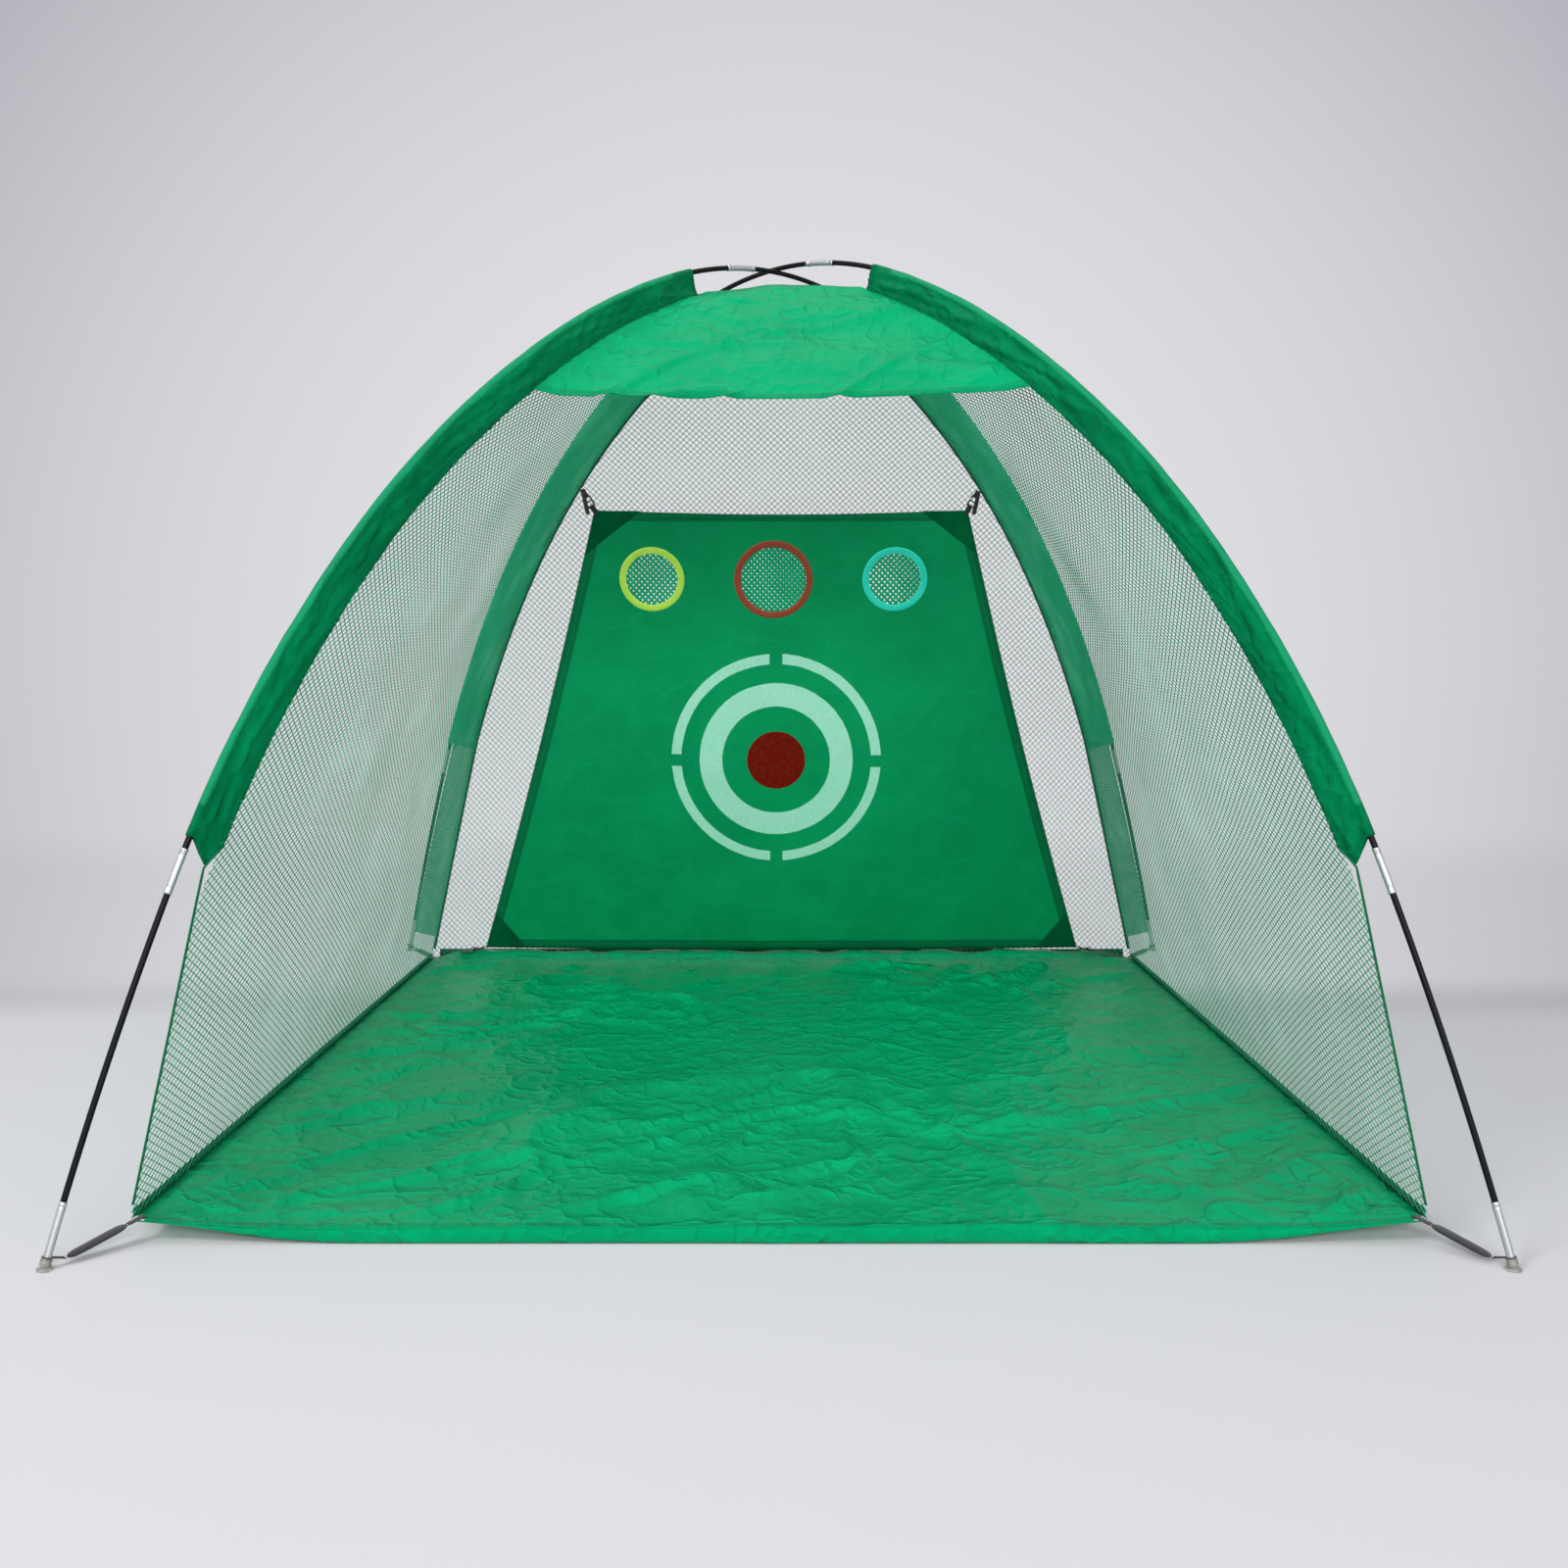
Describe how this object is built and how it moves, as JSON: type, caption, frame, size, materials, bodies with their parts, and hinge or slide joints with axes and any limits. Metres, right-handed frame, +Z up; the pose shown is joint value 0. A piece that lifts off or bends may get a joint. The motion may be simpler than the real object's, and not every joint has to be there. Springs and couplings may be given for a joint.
{
  "type": "golf chipping net",
  "caption": "Dome-shaped chipping net on crossed flexible poles, with mesh walls, a cloth floor and a sprung target sheet with ringed windows and a bullseye.",
  "frame": {"origin": "on the floor, midway between the four feet, under the crossing of the poles", "axes": "+X to the right as the player sees the open front, +Y away from the player to the rear net, +Z up"},
  "size_m": [2.022, 2.022, 1.5569],
  "materials": {
    "pole_black": "satin black coated fibreglass",
    "ferrule_steel": "bright drawn tube",
    "cap_clear": "clear soft plastic",
    "sleeve_cloth": "green coated polyester",
    "canopy_cloth": "bright green coated polyester",
    "side_mesh": "pale diamond mesh",
    "rear_mesh": "diamond mesh",
    "mat_cloth": "green satin polyester",
    "target_cloth": "green coated polyester with a printed bullseye",
    "patch_cloth": "dark green doubled polyester",
    "binding_tape": "dark green binding tape",
    "ring_yellow": "yellow green tape",
    "ring_red": "red tape",
    "ring_cyan": "cyan tape",
    "window_mesh": "grey green mesh",
    "hook_plastic": "black moulded plastic",
    "webbing_black": "black webbing",
    "elastic_black": "black elastic",
    "tab_padding": "black padded webbing"
  },
  "bodies": {
    "frame": {"bottom_left_strap": "webbing_black", "bottom_right_strap": "webbing_black", "corner_straps": "webbing_black", "foot_caps": "cap_clear", "front_canopy": "canopy_cloth", "front_left_sleeve": "sleeve_cloth", "front_right_sleeve": "sleeve_cloth", "ground_mat": "mat_cloth", "left_pole_ferrules": "ferrule_steel", "left_pole_section_1": "pole_black", "left_pole_section_2": "pole_black", "left_pole_section_3": "pole_black", "left_pole_section_4": "pole_black", "left_pole_section_5": "pole_black", "left_pole_section_6": "pole_black", "left_pole_section_7": "pole_black", "left_pole_section_8": "pole_black", "left_side_net": "side_mesh", "mat_bindings": "binding_tape", "net_corner_tapes": "binding_tape", "net_front_tapes": "binding_tape", "pole_end_tubes": "ferrule_steel", "pull_tabs": "tab_padding", "rear_left_sleeve": "sleeve_cloth", "rear_net": "rear_mesh", "rear_right_sleeve": "sleeve_cloth", "right_pole_ferrules": "ferrule_steel", "right_pole_section_1": "pole_black", "right_pole_section_2": "pole_black", "right_pole_section_3": "pole_black", "right_pole_section_4": "pole_black", "right_pole_section_5": "pole_black", "right_pole_section_6": "pole_black", "right_pole_section_7": "pole_black", "right_pole_section_8": "pole_black", "right_side_net": "side_mesh", "tie_bands": "elastic_black"},
    "target": {"bottom_hooks": "hook_plastic", "corner_patches": "patch_cloth", "left_window_net": "window_mesh", "left_window_ring": "ring_yellow", "middle_window_net": "window_mesh", "middle_window_ring": "ring_red", "right_window_net": "window_mesh", "right_window_ring": "ring_cyan", "sheet_corner_loops": "webbing_black", "target_sheet": "target_cloth", "top_hooks": "hook_plastic", "top_straps": "webbing_black"}
  },
  "joints": [
    {"name": "target_swing", "type": "hinge", "parent": "frame", "child": "target", "pos_m": [0, 0.5285, 1.1748], "axis": [1, 0, 0], "range_deg": [-3, 2], "stiffness_Nm_per_rad": 300, "deforming": ["bottom_left_strap", "bottom_right_strap"]}
  ]
}
